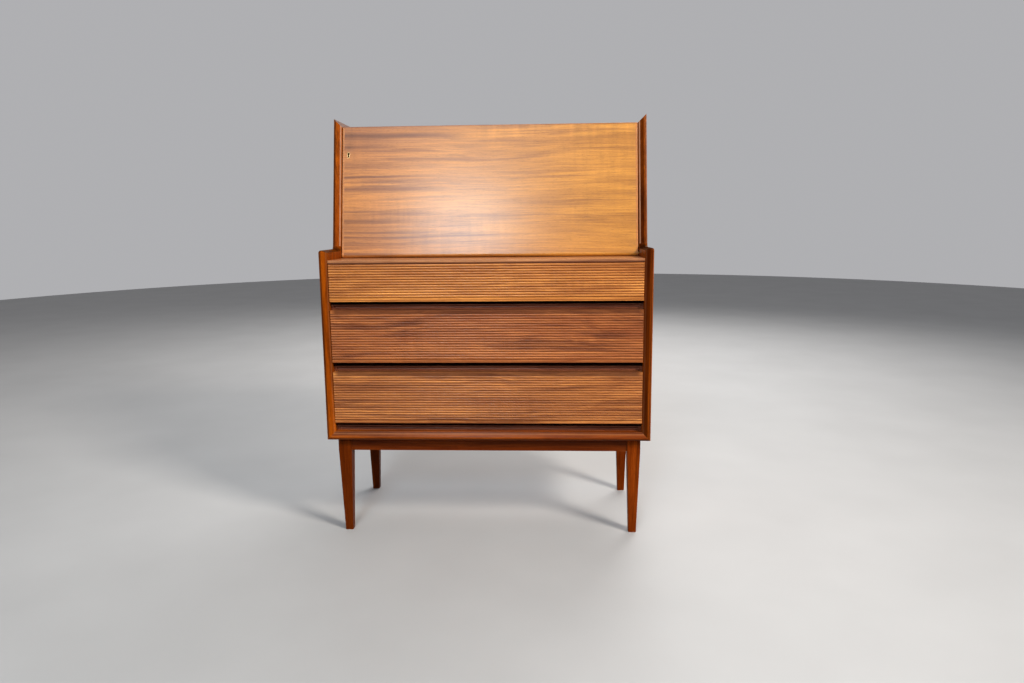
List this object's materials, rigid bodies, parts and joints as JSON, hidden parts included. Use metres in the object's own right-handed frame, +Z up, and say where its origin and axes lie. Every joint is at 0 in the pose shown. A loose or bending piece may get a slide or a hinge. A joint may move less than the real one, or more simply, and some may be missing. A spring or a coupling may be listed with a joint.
{
  "type": "secretary desk",
  "caption": "Secretary desk with a sloping fall-front flap between tall cheeks, reeded drawers pulled by their lower edges, and a stand on tapered legs.",
  "frame": {"origin": "on the floor under the middle of the desk's width and depth", "axes": "+X to the right as seen from the front, +Y from the front to the back, +Z up"},
  "size_m": [0.82, 0.4, 1.0705],
  "materials": {
    "case_wood": "satin lacquered solid hardwood, dark red brown, straight grain",
    "ledge_wood": "satin lacquered veneer, mid brown, grain along the width",
    "flap_veneer": "satin lacquered ribbon veneer, golden brown with darker streaks, grain along the width",
    "reeded_wood": "satin lacquered solid hardwood with reeds, orange brown",
    "rail_wood": "satin lacquered hardwood, dark brown",
    "leg_wood": "satin lacquered solid hardwood, orange brown, grain upright",
    "rack_wood": "thin satin lacquer, mid brown",
    "plain_hardwood": "bare pale hardwood, waxed",
    "drawer_ply": "thin plywood, sealed",
    "back_ply": "thin plywood, unfinished",
    "brass": "plain brass, slightly dulled",
    "screw_steel": "plain steel, dulled"
  },
  "bodies": {
    "case": {"left_side_panel": "case_wood", "right_side_panel": "case_wood", "bottom_board": "case_wood", "ledge_board": "ledge_wood", "writing_floor": "ledge_wood", "top_board": "ledge_wood", "back_panel": "back_ply", "strike_plate": "brass", "strike_screws": "screw_steel", "letter_shelf": "rack_wood", "left_divider": "rack_wood", "centre_divider": "rack_wood", "right_divider": "rack_wood", "left_pivot_bush": "brass", "right_pivot_bush": "brass", "runner_screws": "screw_steel", "back_panel_screws": "screw_steel", "upper_cove_rail": "rail_wood", "middle_cove_rail": "rail_wood", "lower_cove_rail": "rail_wood", "upper_left_runner": "plain_hardwood", "upper_right_runner": "plain_hardwood", "middle_left_runner": "plain_hardwood", "middle_right_runner": "plain_hardwood", "lower_left_runner": "plain_hardwood", "lower_right_runner": "plain_hardwood", "front_stand_rail": "leg_wood", "rear_stand_rail": "leg_wood", "left_stand_rail": "leg_wood", "right_stand_rail": "leg_wood", "stand_screws": "screw_steel", "front_left_leg": "leg_wood", "front_right_leg": "leg_wood", "rear_left_leg": "leg_wood", "rear_right_leg": "leg_wood", "front_left_corner_block": "plain_hardwood", "front_right_corner_block": "plain_hardwood", "rear_left_corner_block": "plain_hardwood", "rear_right_corner_block": "plain_hardwood"},
    "flap": {"flap_panel": "flap_veneer", "left_pivot_pin": "brass", "right_pivot_pin": "brass", "lock_case": "brass", "lock_screws": "screw_steel"},
    "bolt": {"lock_bolt": "brass"},
    "upper_drawer": {"upper_drawer_front": "reeded_wood", "upper_drawer_left_side": "plain_hardwood", "upper_drawer_right_side": "plain_hardwood", "upper_drawer_back": "plain_hardwood", "upper_drawer_bottom": "drawer_ply"},
    "middle_drawer": {"middle_drawer_front": "reeded_wood", "middle_drawer_left_side": "plain_hardwood", "middle_drawer_right_side": "plain_hardwood", "middle_drawer_back": "plain_hardwood", "middle_drawer_bottom": "drawer_ply"},
    "lower_drawer": {"lower_drawer_front": "reeded_wood", "lower_drawer_left_side": "plain_hardwood", "lower_drawer_right_side": "plain_hardwood", "lower_drawer_back": "plain_hardwood", "lower_drawer_bottom": "drawer_ply"}
  },
  "joints": [
    {"name": "flap_hinge", "type": "hinge", "parent": "case", "child": "flap", "pos_m": [0, -0.06366, 0.7145], "axis": [1, 0, 0], "range_deg": [0, 101]},
    {"name": "lock_bolt_slide", "type": "slide", "parent": "flap", "child": "bolt", "axis": [-1, 0, 0], "range_m": [0, 0.007]},
    {"name": "upper_drawer_slide", "type": "slide", "parent": "case", "child": "upper_drawer", "axis": [0, -1, 0], "range_m": [0, 0.28]},
    {"name": "middle_drawer_slide", "type": "slide", "parent": "case", "child": "middle_drawer", "axis": [0, -1, 0], "range_m": [0, 0.28]},
    {"name": "lower_drawer_slide", "type": "slide", "parent": "case", "child": "lower_drawer", "axis": [0, -1, 0], "range_m": [0, 0.28]}
  ]
}
